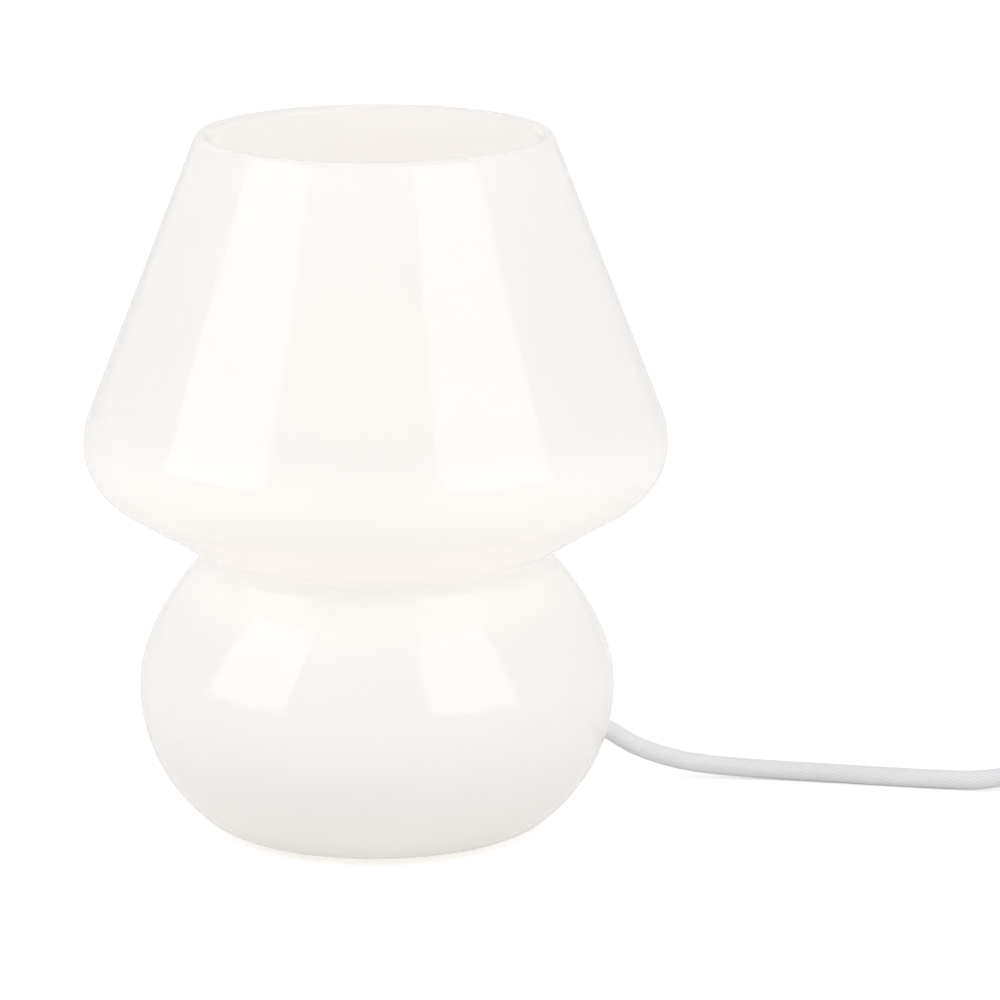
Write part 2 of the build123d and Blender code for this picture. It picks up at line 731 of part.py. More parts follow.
def switch_rocker():
    """A rocker with a shallow valley on top, round ends about its pivot, trunnions and a spring boss."""
    valley = switch_height + 0.2 - rocker_pivot_height
    low = -rocker_underside
    low_x = math.sqrt(rocker_radius**2 - low**2)
    angle = math.radians(90 - rocker_tilt)
    # Where the tilted top meets the round end, as seen from the pivot.
    reach = valley * math.sin(angle)
    end_angle = math.degrees(math.asin(reach / rocker_radius)) + rocker_tilt
    end = unit(end_angle) * rocker_radius
    start_angle = math.degrees(math.asin(low / rocker_radius))
    middle = unit((end_angle + start_angle) / 2) * rocker_radius
    edges = [
        Line((-low_x, low), (low_x, low)),
        ThreePointArc((low_x, low), (middle.X, middle.Y), (end.X, end.Y)),
        Line((end.X, end.Y), (0, valley)),
        Line((0, valley), (-end.X, end.Y)),
        ThreePointArc((-end.X, end.Y), (-middle.X, middle.Y), (-low_x, low))]
    rocker = Plane.XZ * extrude(make_face(edges), amount=rocker_width / 2, both=True)
    rocker = fillet(rocker.edges().filter_by(Axis.Y).group_by(Axis.Z)[-1], 0.8)
    rocker += Rot(90, 0, 0) * Cylinder(trunnion_diameter / 2, rocker_width + 2.6)
    boss = Pos(0, 0, -boss_reach) * extrude(Circle(boss_diameter / 2), amount=boss_reach + low + 0.5)
    rocker += boss
    rocker -= Pos(0, 0, -boss_reach) * extrude(Circle(plunger_diameter / 2 + 0.15), amount=5.5)
    return rocker_turn(rocker_tilt) * Pos(0, 0, rocker_pivot_height) * rocker


def switch_plunger():
    radius = plunger_diameter / 2
    shaft = Pos(0, 0, radius - plunger_reach) * extrude(Circle(radius), amount=3.6)
    tip = Pos(0, 0, radius - plunger_reach) * Sphere(radius)
    return rocker_turn(rocker_tilt) * Pos(0, 0, rocker_pivot_height) * (shaft + tip)


def plunger_spring():
    bottom = plunger_diameter / 2 - plunger_reach + 3.7
    spring = ring_of(plunger_diameter - 0.1, plunger_diameter - 1.0, bottom, bottom + 2.6)
    return rocker_turn(rocker_tilt) * Pos(0, 0, rocker_pivot_height) * spring


def switch_lever():
    """See-saw strip bent to a shallow V, with a silver dot under each end."""
    rise = lever_half_length * math.tan(math.radians(lever_tilt))
    strip = band([(-lever_half_length, rise), (0, 0), (lever_half_length, rise)], lever_thickness)
    lever = Plane.XZ * extrude(strip, amount=lever_width / 2, both=True)
    for side in (-1, 1):
        rise_there = contact_x * math.tan(math.radians(lever_tilt))
        dot = Pos(side * contact_x, 0, rise_there) * Rot(0, -side * lever_tilt, 0)
        lever += dot * Pos(0, 0, -0.3) * Cylinder(1.3, 1.0)
    return Pos(0, 0, lever_height) * Rot(0, -lever_tilt, 0) * lever


def terminal_hole(x, y, top):
    """Clearance for a terminal screw's shank, down from a terminal's top."""
    return Pos(x, y, top - 3.5) * extrude(Circle(terminal_screw_diameter / 2 + 0.05), amount=4)


def terminal(side, inner_x):
    """A screw terminal at one end, with a flat strip that runs from it to inner_x."""
    block = Box(terminal_length, terminal_width, terminal_height)
    block = Pos(side * terminal_x, 0, switch_wall + terminal_height / 2) * block
    strip = Box(abs(side * terminal_x - inner_x), contact_strip_width, contact_strip_thickness)
    strip_z = switch_wall + contact_strip_thickness / 2
    return block + Pos((side * terminal_x + inner_x) / 2, 0, strip_z) * strip


def fixed_contact():
    post_top = lever_height - contact_gap
    post_width = 3.0
    post = Box(post_width, contact_strip_width, post_top - switch_wall)
    post = Pos(-contact_x, 0, (switch_wall + post_top) / 2) * post
    contact = terminal(-1, -contact_x) + post
    return contact - terminal_hole(-terminal_x, 0, terminal_top)


def pivot_contact():
    ridge_top = lever_height - pivot_gap
    foot = 1.4
    edge = 0.3
    ridge = make_face(Polyline((-foot, switch_wall), (foot, switch_wall), (edge, ridge_top),
                               (-edge, ridge_top), close=True))
    contact = terminal(1, 0) + Plane.XZ * extrude(ridge, amount=contact_strip_width / 2, both=True)
    return contact - terminal_hole(terminal_x, 0, terminal_top)


def neutral_link():
    link = Pos(0, link_y, switch_wall + link_height / 2) * Box(link_length, link_width, link_height)
    for side in (-1, 1):
        link -= terminal_hole(side * link_reach, link_y, switch_wall + link_height)
    return link


def small_screw(x, y, top, diameter, length):
    """A cheese-head screw whose head stands on a face at height top."""
    head = Pos(x, y, top) * extrude(Circle(diameter * 0.85), amount=1.4)
    slot = Pos(x, y, top + 1.4) * Box(0.6, diameter * 2, 1.0)
    shank = Pos(x, y, top - length) * extrude(Circle(diameter / 2), amount=length)
    return head - slot + shank


def switch_screws():
    live = [small_screw(side * terminal_x, 0, terminal_top, terminal_screw_diameter, 3.2) for side in (-1, 1)]
    neutral = [
        small_screw(side * link_reach, link_y, switch_wall + link_height, terminal_screw_diameter, 2.8)
        for side in (-1, 1)]
    return live + neutral


def switch_cores():
    """Bared cores from each cord's end to the side of its terminal and to the end of the neutral link."""
    cores = []
    start_x = switch_length / 2 - cord_stub - 0.5
    terminal_end = terminal_x + terminal_length / 2
    ends = (
        (-1.3, Vector(terminal_end + 0.4, -1.0, switch_wall + 3.4)),
        (1.3, Vector(link_length / 2 + 0.2, link_y - 1.3, switch_wall + 3.8)))
    for side in (-1, 1):
        for y, end in ends:
            start = Vector(start_x, y, switch_split)
            run = end - start
            core = cylinder_along(start, run, run.length - 0.4, core_bare_diameter)
            cores.append(core if side > 0 else mirror(core, Plane.YZ))
    return cores


def cord_straps():
    straps = []
    for side in (-1, 1):
        strap = Box(strap_width, strap_span, strap_top - cradle_top)
        strap = Pos(side * strap_place, 0, (cradle_top + strap_top) / 2) * strap
        for across in (-1, 1):
            hole = Pos(side * strap_place, across * strap_screw_offset, cradle_top)
            strap -= hole * extrude(Circle(strap_screw_diameter / 2 + slide_gap), amount=strap_top)
        straps.append(strap - cord_bores())
    return straps


def strap_screws():
    return [
        small_screw(side * strap_place, across * strap_screw_offset, strap_top, strap_screw_diameter, 7.6)
        for side in (-1, 1) for across in (-1, 1)]


def housing_screws():
    screws = []
    for x, y in housing_screw_places:
        head_bottom = 0.4
        head_radius = housing_screw_diameter - 0.1
        head = Pos(x, y, head_bottom) * extrude(Circle(head_radius), amount=screw_recess - head_bottom)
        slot = Pos(x, y, head_bottom) * Box(5, 0.7, 1.0)
        shank = Pos(x, y, screw_recess) * extrude(Circle(housing_screw_diameter / 2), amount=12.0)
        screws.append(head - slot + shank)
    return screws


# ---------------------------------------------------------------- free cord
lead_start = exit_point
lead_end = Vector(switch_x - switch_length / 2 + cord_stub, switch_y, switch_split)
tail_start = Vector(switch_x + switch_length / 2 - cord_stub, switch_y, switch_split)

coil_low = cord_diameter / 2 + tie_thickness + tie_gap
coil_high = coil_low + turn_pitch
half_step = turn_pitch / 2


def coil_corners():
    """Ends of the coil's half turns: inwards on the lower layer, up, and outwards on the upper one."""
    points = [Vector(coil_x, coil_back_y, coil_low)]
    radii = [coil_outer_radius - half_step * index for index in range(coil_half_turns + 1)]
    radii += list(reversed(radii[:-1]))
    side = -1
    for index, radius in enumerate(radii):
        height = coil_low if index < coil_half_turns else coil_high
        last = points[-1]
        points.append(Vector(last.X, last.Y + side * 2 * radius, height))
        side = -side
    return points


def climb_middle(start, end, heading):
    """Where the climbing half turn's two equal arcs meet, out along the heading."""
    return (start + end) * 0.5 + heading * ((end - start).length / 2)


def coil_path():
    corners = coil_corners()
    heading = Vector(-1, 0, 0)
    edges = [Line(corners[0] - heading * cord_diameter, corners[0])]
    for start, end in zip(corners, corners[1:]):
        if abs(end.Z - start.Z) > 1e-6:
            middle = climb_middle(start, end, heading)
            edges.append(TangentArc(start, middle, tangent=heading))
            edges.append(TangentArc(middle, end, tangent=edges[-1] % 1))
        else:
            edges.append(TangentArc(start, end, tangent=heading))
        heading = heading * -1
    edges.append(Line(corners[-1], corners[-1] + heading * cord_diameter))
    return Wire(edges)


def least_gap(path):
    """Least distance between the tube's own turns, measured on points along its middle line."""
    count = 900
    points = [path.position_at(index / count) for index in range(count + 1)]
    apart = int(3 * cord_diameter / (path.length / count))
    least = min((other - point).length for index, point in enumerate(points)
                for other in points[index + apart:])
    return least - cord_diameter


def cord_lead():
    second = lead_start + hole_normal * 9.0
    last_bend = (switch_x - switch_length / 2 - 5.0, switch_y, switch_split)
    return route_tube("cord_lead", [lead_start, second, *lead_points, last_bend, lead_end])


def cord_tail():
    second = (switch_x + switch_length / 2 + 6.0, switch_y, switch_split)
    coil_start = coil_corners()[0] + Vector(cord_diameter, 0, 0)
    return route_tube("cord_tail", [tail_start, second, *tail_points,
                                    coil_start + Vector(10.0, 0, 0), coil_start])


def cord_coil():
    path = coil_path()
    print(f"cord_coil: least gap between turns {least_gap(path):.2f}")
    return tube("cord_coil", path, cord_diameter)


def cord_tie():
    """A band round the coil's bundle on its right side, where the climbing turn is the innermost."""
    outermost = coil_outer_radius - half_step
    innermost = coil_outer_radius - coil_half_turns * half_step
    sagitta = innermost - math.sqrt(innermost**2 - tie_width**2 / 4)
    inner_x = coil_x + innermost - cord_diameter / 2 - sagitta - tie_gap
    outer_x = coil_x + outermost + cord_diameter / 2 + tie_gap
    bottom = tie_thickness
    top = coil_high + cord_diameter / 2 + tie_gap
    middle_y = coil_back_y - coil_outer_radius - half_step
    place = Pos((inner_x + outer_x) / 2, middle_y, (bottom + top) / 2)
    outside = RectangleRounded(outer_x - inner_x + 2 * tie_thickness, top - bottom + 2 * tie_thickness, 3.0)
    inside = RectangleRounded(outer_x - inner_x, top - bottom, 2.0)
    band_loop = Plane.XZ * extrude(outside - inside, amount=tie_width / 2, both=True)
    return place * band_loop


end_start = coil_corners()[-1] + Vector(cord_diameter, 0, 0)
relief_x = coil_x + plug_offset
plug_y = end_start.Y
plug_z = plug_height / 2


def cord_end():
    points = [
        end_start, end_start + Vector(end_level_run, 0, 0), (relief_x - end_level_run, plug_y, plug_z),
        (relief_x, plug_y, plug_z)]
    radii = bend_radii(points)
    print("cord_end: radii", [round(radius) for radius in radii])
    return tube("cord_end", FilletPolyline(*points, radius=radii), cord_diameter)


# ---------------------------------------------------------------- plug, about its cord's axis
plug_place = Pos(relief_x, plug_y, plug_z)


def plug_relief():
    """Tapered boot with grip grooves, solid round the cord's last stretch."""
    small = cord_diameter / 2 + 1.2
    large = plug_height / 2 - 1.0
    boot = make_face(Polyline((0, 0), (0, small), (relief_length, large), (relief_length, 0), close=True))
    boot = revolve(boot, Axis.X)
    groove_pitch = relief_length / (boot_grooves + 1)
    for index in range(boot_grooves):
        x = (index + 1) * groove_pitch
        radius = small + (large - small) * x / relief_length
        groove = Cylinder(radius + 2, boot_groove_width)
        groove -= Cylinder(radius - boot_groove_depth, boot_groove_width)
        boot -= Pos(x, 0, 0) * Rot(0, 90, 0) * groove
    return plug_place * boot


def plug_body():
    """Flat six-sided body, narrow at the cord and full width at the pins."""
    half = plug_width / 2
    neck = plug_neck_width / 2
    outline = make_face([
        Line((0, -neck), (0, neck)),
        ThreePointArc((0, neck), (plug_length * 0.34, half * 0.62), (plug_length * plug_shoulder, half)),
        Line((plug_length * plug_shoulder, half), (plug_length, half - 1.2)),
        Line((plug_length, half - 1.2), (plug_length, 1.2 - half)),
        Line((plug_length, 1.2 - half), (plug_length * plug_shoulder, -half)),
        ThreePointArc((plug_length * plug_shoulder, -half), (plug_length * 0.34, -half * 0.62), (0, -neck))])
    body = Pos(0, 0, -plug_height / 2) * extrude(outline, amount=plug_height)
    upright = body.edges().filter_by(Axis.Z).sort_by(Axis.X)[2:]
    body = fillet(upright, plug_corner)
    rims = body.edges().group_by(Axis.Z)[0] + body.edges().group_by(Axis.Z)[-1]
    body = fillet(rims, plug_edge)
    return plug_place * Pos(relief_length, 0, 0) * body


def pin_place(side):
    return plug_place * Pos(relief_length + plug_length, side * pin_spacing / 2, 0) * Rot(0, 90, 0)


def plug_pins():
    pins = []
    core = pin_sleeve_diameter - 2 * pin_sleeve_wall - 0.1
    for side in (-1, 1):
        pin = extrude(Circle(core / 2), amount=pin_sleeve_length)
        tip = Pos(0, 0, pin_sleeve_length) * extrude(
            Circle(pin_diameter / 2), amount=pin_length - pin_sleeve_length)
        tip = fillet(tip.edges().group_by(Axis.Z)[-1], pin_round)
        pins.append(pin_place(side) * (pin + tip))
    return pins


def pin_sleeves():
    sleeve = ring_of(pin_sleeve_diameter, pin_sleeve_diameter - 2 * pin_sleeve_wall, 0, pin_sleeve_length)
    return [pin_place(side) * sleeve for side in (-1, 1)]


# ---------------------------------------------------------------- all nodes
lamp_makers = [
    glass_body, foot_pads, cord_grommet, holder_spider, spider_sleeves, shade_ring, holder_shell,
    holder_cap, grip_screw, contact_block, contact_sleeve, centre_contact, holder_screws, inner_cord,
    cord_cores, bulb_globe, bulb_body, bulb_cap, bulb_insulator, bulb_contact, led_board, led_chips]
switch_makers = [
    switch_base, switch_cover, switch_rocker, switch_plunger, plunger_spring, switch_lever,
    fixed_contact, pivot_contact, neutral_link, switch_screws, switch_cores, cord_straps, strap_screws,
    housing_screws]
cord_makers = [
    cord_lead, cord_tail, cord_coil, cord_tie, cord_end, plug_relief, plug_body, plug_pins, pin_sleeves]


def save(name, pieces, place=Location()):
    """Write a node's solids, each separate, to one file under its name."""
    pieces = pieces if isinstance(pieces, list) else [pieces]
    solids = [place * solid for piece in pieces for solid in piece.solids()]
    node = solids[0] if len(solids) == 1 else Compound(children=solids)
    export_step(node, f"parts/{name}.step")


os.makedirs("parts", exist_ok=True)
for maker in lamp_makers + cord_makers:
    save(maker.__name__, maker())
for maker in switch_makers:
    save(maker.__name__, maker(), switch_place)
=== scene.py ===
import math
import bmesh
import bpy
from mathutils import Matrix, Vector


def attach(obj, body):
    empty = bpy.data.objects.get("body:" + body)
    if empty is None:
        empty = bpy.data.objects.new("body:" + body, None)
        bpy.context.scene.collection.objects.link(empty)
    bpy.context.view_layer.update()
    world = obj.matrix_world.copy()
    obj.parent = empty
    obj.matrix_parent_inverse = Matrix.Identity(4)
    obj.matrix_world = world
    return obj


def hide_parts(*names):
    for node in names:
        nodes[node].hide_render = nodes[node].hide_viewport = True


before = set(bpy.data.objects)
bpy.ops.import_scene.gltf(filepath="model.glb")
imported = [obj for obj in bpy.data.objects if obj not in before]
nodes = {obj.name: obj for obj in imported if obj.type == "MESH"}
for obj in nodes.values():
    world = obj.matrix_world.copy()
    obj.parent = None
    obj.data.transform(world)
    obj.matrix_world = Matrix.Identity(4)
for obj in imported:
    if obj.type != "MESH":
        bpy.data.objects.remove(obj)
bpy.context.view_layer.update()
MM = 0.001

# ---------------------------------------------------------------- camera
CAMERA_LENS = 203.48
CAMERA_PLACE = (0.035, -1.5568, 0.4636)
CAMERA_DOWN = 13.35          # degrees below level

camera_data = bpy.data.cameras.new("camera")
camera_data.sensor_width = 36.0
camera_data.lens = CAMERA_LENS
camera_data.clip_start = 0.05
camera_data.clip_end = 50.0
camera = bpy.data.objects.new("camera", camera_data)
camera.location = CAMERA_PLACE
camera.rotation_euler = (math.radians(90 - CAMERA_DOWN), 0, 0)
bpy.context.collection.objects.link(camera)
bpy.context.scene.camera = camera
bpy.context.scene.view_settings.view_transform = "Standard"


# ---------------------------------------------------------------- helpers
def link(obj):
    bpy.context.collection.objects.link(obj)
    return obj


class Nodes:
    """A material or world node tree with short calls for the nodes used here."""

    def __init__(self, owner):
        owner.use_nodes = True
        self.tree = owner.node_tree
        self.tree.nodes.clear()

    def add(self, kind, **settings):
        node = self.tree.nodes.new(kind)
        for name, value in settings.items():
            setattr(node, name, value)
        return node

    def join(self, source, target):
        self.tree.links.new(source, target)

    def feed(self, node, name, value):
        """Set a socket to a plain value, or link another node's output to it."""
        socket = node.inputs[name]
        if isinstance(value, bpy.types.NodeSocket):
            self.join(value, socket)
        else:
            socket.default_value = value

    def math(self, operation, first, second=0.0, third=0.0):
        node = self.add("ShaderNodeMath", operation=operation)
        self.feed(node, 0, first)
        self.feed(node, 1, second)
        self.feed(node, 2, third)
        return node.outputs[0]

    def ramp(self, value, stops, interpolation="EASE"):
        node = self.add("ShaderNodeValToRGB")
        node.color_ramp.interpolation = interpolation
        elements = node.color_ramp.elements
        while len(elements) < len(stops):
            elements.new(0.5)
        for element, (place, colour) in zip(elements, stops):
            element.position = place
            element.color = rgba(colour)
        self.join(value, node.inputs[0])
        return node.outputs[0]

    def mix(self, factor, first, second):
        node = self.add("ShaderNodeMix", data_type="RGBA")
        self.feed(node, 0, factor)
        self.feed(node, 6, first)
        self.feed(node, 7, second)
        return node.outputs[2]

    def noise(self, vector, scale, detail=3.0, roughness=0.5):
        node = self.add("ShaderNodeTexNoise")
        self.join(vector, node.inputs["Vector"])
        node.inputs["Scale"].default_value = scale
        node.inputs["Detail"].default_value = detail
        node.inputs["Roughness"].default_value = roughness
        return node.outputs["Fac"]

    def range(self, value, low, high, to_low=0.0, to_high=1.0):
        node = self.add("ShaderNodeMapRange")
        for index, number in enumerate((low, high, to_low, to_high)):
            node.inputs[index + 1].default_value = number
        self.join(value, node.inputs[0])
        return node.outputs[0]

    def bump(self, height, strength, distance):
        node = self.add("ShaderNodeBump")
        node.inputs["Strength"].default_value = strength
        node.inputs["Distance"].default_value = distance
        self.join(height, node.inputs["Height"])
        return node.outputs["Normal"]

    def object_position(self):
        return self.add("ShaderNodeTexCoord").outputs["Object"]

    def split(self, vector):
        node = self.add("ShaderNodeSeparateXYZ")
        self.join(vector, node.inputs[0])
        return node.outputs

    def principled(self, **values):
        shader = self.add("ShaderNodeBsdfPrincipled")
        for name, value in values.items():
            self.feed(shader, name.replace("_", " "), value)
        return shader

    def surface(self, shader):
        output = self.add("ShaderNodeOutputMaterial")
        self.join(shader.outputs[0], output.inputs["Surface"])


def new_material(name):
    material = bpy.data.materials.new(name)
    return material, Nodes(material)


def linear(red, green, blue):
    """Linear colour of an sRGB one written from 0 to 255."""
    out = []
    for value in (red, green, blue):
        share = value / 255
        out.append(share / 12.92 if share <= 0.04045 else ((share + 0.055) / 1.055) ** 2.4)
    return tuple(out)


def rgba(colour):
    return (*colour, 1.0)


def moulded(name, colour, roughness, grain=0.0, grain_size=0.0004, metallic=0.0, coat=0.0):
    """A plain solid stuff with a fine surface grain and a faint unevenness of colour and gloss."""
    material, tree = new_material(name)
    place = tree.object_position()
    large = tree.noise(place, 60.0)
    fine = tree.noise(place, 1 / grain_size, 2.0)
    darker = tuple(value * 0.96 for value in colour)
    shader = tree.principled(
        Base_Color=tree.mix(tree.range(large, 0.35, 0.65), rgba(darker), rgba(colour)),
        Roughness=tree.range(fine, 0.3, 0.7, roughness - 0.05, roughness + 0.05),
        Metallic=metallic, Coat_Weight=coat)
    if grain:
        tree.join(tree.bump(fine, grain, 0.0001), shader.inputs["Normal"])
    tree.surface(shader)
    return material


def dress(node_names, material):
    for name in node_names:
        mesh = nodes[name].data
        mesh.materials.clear()
        mesh.materials.append(material)
        for polygon in mesh.polygons:
            polygon.material_index = 0


def soften(node_names):
    """Smooth shading over round faces, with sharp edges kept; the points stay where they are."""
    for name in node_names:
        mesh = nodes[name].data
        mesh.shade_smooth()
        mesh.set_sharp_from_angle(angle=math.radians(35))


# ---------------------------------------------------------------- cord, routes in millimetres
CORD = 0.0055
LEAD_LENGTH = 0.1695
MAIN_LENGTH = 1.80
HOLE_EXIT = (57.99, 30.83, 21.70)        # where the cord leaves the grommet
HOLE_INSIDE = (50.68, 26.93, 25.20)      # a point on the hole's line, inside the glass
SWITCH_END = 265.0
SWITCH_Y = 28.0
CORD_IN_SWITCH = 9.5
COIL_X, COIL_Y = 221.0, -33.0            # where the first turn begins
COIL_LOW, COIL_HIGH = 4.05, 10.15        # heights of the two layers
COIL_RADIUS = 43.5
COIL_STEP = 3.05                         # radius lost with each half turn
COIL_HALF_TURNS = 7
POINTS_PER_HALF = 8
COIL_END_X = 226.5                       # where straight cord meets the coil, at both ends
RELIEF_X = 255.0                         # where the cord enters the plug's strain relief
PLUG_Z = 6.85
YARN_PITCH = 0.0045                      # length of one turn of the braid's yarns
YARNS_AROUND = 8.0

lead_route = [
    HOLE_EXIT, (65.31, 34.73, 18.19), (73, 38, 11.9), (80.5, 40.5, 8.2), (89, 42, 5.4),
    (98, 42.8, 3.9), (109, 42.3, 3.1), (121, 40.6, 2.8), (134, 37.9, 2.75), (148, 34.9, 2.75),
    (162, 32, 2.75), (175.5, 29.7, 2.9), (189, 28.3, 5.7), (205, SWITCH_Y, CORD_IN_SWITCH),
    (221, SWITCH_Y, CORD_IN_SWITCH)]

main_route = [
    (SWITCH_END, SWITCH_Y, CORD_IN_SWITCH), (282, SWITCH_Y, CORD_IN_SWITCH), (302.5, SWITCH_Y, 8.9),
    (318.4, 16.4, 6.9), (324.5, -2.5, 5.0), (318.4, -21.4, 3.6), (302.5, -33, 2.8),
    (278, -33.6, 2.75), (254.5, -33.2, 3.3), (236.5, -33, COIL_LOW), (COIL_END_X, -33, COIL_LOW)]


def coil_points():
    """The put-away turns, two layers: seven half turns inwards, one that climbs, seven outwards."""
    radii = [COIL_RADIUS - COIL_STEP * index for index in range(COIL_HALF_TURNS + 1)]
    radii += radii[-2::-1]
    # Control points lie a little outside the arc, so that the smooth curve runs along it.
    swell = 1 / math.cos(math.pi / POINTS_PER_HALF / 2) ** 0.5
    points = []
    y = COIL_Y
    side = -1
    for index, radius in enumerate(radii):
        middle_y = y + side * radius
        for step_index in range(POINTS_PER_HALF):
            share = (step_index + 0.5) / POINTS_PER_HALF
            angle = math.pi * share
            x = COIL_X + side * radius * swell * math.sin(angle)
            along = middle_y - side * radius * swell * math.cos(angle)
            if index < COIL_HALF_TURNS:
                z = COIL_LOW
            elif index > COIL_HALF_TURNS:
                z = COIL_HIGH
            else:
                z = COIL_LOW + (COIL_HIGH - COIL_LOW) * share
            points.append((x, along, z))
        y += 2 * side * radius
        side = -side
    return points, y


turns, plug_y = coil_points()
end_route = [
    (COIL_END_X, plug_y, COIL_HIGH), (235.0, plug_y, COIL_HIGH), (RELIEF_X - 8.5, plug_y, PLUG_Z),
    (RELIEF_X, plug_y, PLUG_Z)]


def cord_curve(name, points, material):
    curve = bpy.data.curves.new(name, "CURVE")
    curve.dimensions = "3D"
    spline = curve.splines.new("NURBS")
    spline.points.add(len(points) - 1)
    for point, (x, y, z) in zip(spline.points, points):
        point.co = (x * MM, y * MM, z * MM, 1.0)
    spline.order_u = 3
    spline.use_endpoint_u = True
    spline.resolution_u = 8
    curve.bevel_depth = CORD / 2
    curve.bevel_resolution = 6
    curve.use_fill_caps = True
    curve.materials.append(material)
    return link(bpy.data.objects.new(name, curve))


def braid_material(name, length):
    """White textile braid: two crossing sets of yarns, from the curve's own length and turn."""
    material, tree = new_material(name)
    uv = tree.split(tree.add("ShaderNodeTexCoord").outputs["UV"])
    along = tree.math("MULTIPLY", uv[0], length / YARN_PITCH)
    around = tree.math("MULTIPLY", uv[1], YARNS_AROUND)
    waves = []
    for phase in (tree.math("ADD", along, around), tree.math("SUBTRACT", around, along)):
        turned = tree.math("MULTIPLY", phase, 2 * math.pi)
        waves.append(tree.math("ABSOLUTE", tree.math("SINE", turned)))
    cross = tree.math("MULTIPLY", waves[0], waves[1])
    yarn = tree.math("MAXIMUM", waves[0], waves[1])
    height = tree.math("MULTIPLY_ADD", cross, 0.6, tree.math("MULTIPLY", yarn, 0.4))
    fibre = tree.noise(tree.object_position(), 3500.0, 2.0, 0.7)
    height = tree.math("MULTIPLY_ADD", fibre, 0.25, height)
    # Painted shade: the yarns' grooves, where the height is low, are coloured a little darker.
    painted_groove_shade = tree.range(height, 0.25, 1.0)
    colour = tree.mix(painted_groove_shade, rgba((0.91, 0.91, 0.91)), rgba((0.97, 0.97, 0.97)))
    shader = tree.principled(
        Base_Color=colour, Roughness=0.85, Sheen_Weight=0.35, Sheen_Roughness=0.4)
    tree.join(tree.bump(height, 0.45, 0.0003), shader.inputs["Normal"])
    tree.surface(shader)
    return material


lead = cord_curve("lead_cord", lead_route, braid_material("lead_braid", LEAD_LENGTH))
main = cord_curve(
    "main_cord", main_route + turns + end_route, braid_material("main_braid", MAIN_LENGTH))
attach(lead, "lamp")
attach(main, "lamp")
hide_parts("cord_lead")
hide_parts("cord_tail", "cord_coil", "cord_end")

# ---------------------------------------------------------------- glass outline
# Millimetres and degrees, as in the CAD part. A heading is 0 outwards and 90 upwards.
OVERALL_HEIGHT = 199.4
SHADE_RADIUS = 82.5
BASE_RADIUS = 67.5
WAIST_LINE = 50.6            # radius at the waist's narrowest line
WALL = 3.4
PAD_HEIGHT = 1.5
FOOT_RADIUS = 12.7
FOOT_TURN = 39.0
BELLY_RADIUS = 46.9          # arc below the base's widest line
UPPER_BELLY_RADIUS = 37.7
UPPER_BELLY_END = 114.0
SHOULDER_RADIUS = 77.4
WAIST_RADIUS = 5.0
UNDERSIDE = 31.4             # heading of the shade's underside
SKIRT_RADIUS = 18.7
CROWN_RADIUS = 23.2
SIDE = 111.4                 # heading of the shade's straight side
PUNT_HALF_WIDTH = 26.0
PUNT_RISE = 2.5
AROUND = 256                 # faces round the glass
SIDE_STEPS = 24
PUNT_STEPS = 12
RIM_STEPS = 12
LEAST_STEP = 0.02            # points closer than this are one
GROMMET_HOLE = 0.00505       # radius, in metres
GROMMET_CUT = 0.012          # length of the cut, in metres


def unit(heading):
    return Vector((math.cos(math.radians(heading)), math.sin(math.radians(heading))))


def bend_end(bend):
    x, z, radius, start, end = bend
    side = -1 if end > start else 1
    return Vector((x, z)) + unit(end + 90) * (side * radius)


def follow(bends, radius, end):
    """Add an arc that goes on smoothly from the last one to a new heading."""
    last = bends[-1]
    side = 1 if end > last[4] else -1
    centre = bend_end(last) + unit(last[4] + 90) * (side * radius)
    bends.append((centre.x, centre.y, radius, last[4], end))


def make_bends():
    """The arcs from the foot ring to the shade's straight side: centre, radius, headings."""
    foot_x = (BASE_RADIUS - BELLY_RADIUS
              - (FOOT_RADIUS - BELLY_RADIUS) * math.sin(math.radians(FOOT_TURN)))
    bends = [(foot_x, PAD_HEIGHT + FOOT_RADIUS, FOOT_RADIUS, 0, FOOT_TURN)]
    follow(bends, BELLY_RADIUS, 90)
    follow(bends, UPPER_BELLY_RADIUS, UPPER_BELLY_END)
    centre = bend_end(bends[-1]) + unit(UPPER_BELLY_END + 90) * SHOULDER_RADIUS
    reach = (WAIST_LINE + WAIST_RADIUS - centre.x) / (SHOULDER_RADIUS + WAIST_RADIUS)
    follow(bends, SHOULDER_RADIUS, 180 - math.degrees(math.asin(reach)))
    follow(bends, WAIST_RADIUS, UNDERSIDE)
    slope = unit(UNDERSIDE)
    gain = SKIRT_RADIUS * (1 - math.sin(math.radians(UNDERSIDE)))
    run = (SHADE_RADIUS - gain - bend_end(bends[-1]).x) / slope.x
    centre = bend_end(bends[-1]) + slope * run + unit(UNDERSIDE + 90) * SKIRT_RADIUS
    bends.append((centre.x, centre.y, SKIRT_RADIUS, UNDERSIDE, 90))
    follow(bends, CROWN_RADIUS, SIDE)
    return bends


def outline(bends, inset):
    """Points of the body's side from the foot to the rim, moved inwards by an inset."""
    points = []
    for x, z, radius, start, end in bends:
        convex = end > start
        here = radius - inset if convex else radius + inset
        side = -1 if convex else 1
        count = max(4, int(abs(end - start) * here / 60))
        for index in range(count + 1):
            heading = start + (end - start) * index / count
            points.append(Vector((x, z)) + unit(heading + 90) * (side * here))
    outwards = unit(SIDE + 90)
    crown = bends[-1]
    outer_end = Vector((crown[0], crown[1])) - outwards * crown[2]
    rim_centre = OVERALL_HEIGHT - WALL / 2
    run = (rim_centre - (outer_end + outwards * (WALL / 2)).y) / unit(SIDE).y
    last = points[-1]
    for index in range(1, SIDE_STEPS + 1):
        points.append(last + unit(SIDE) * (run * index / SIDE_STEPS))
    return points


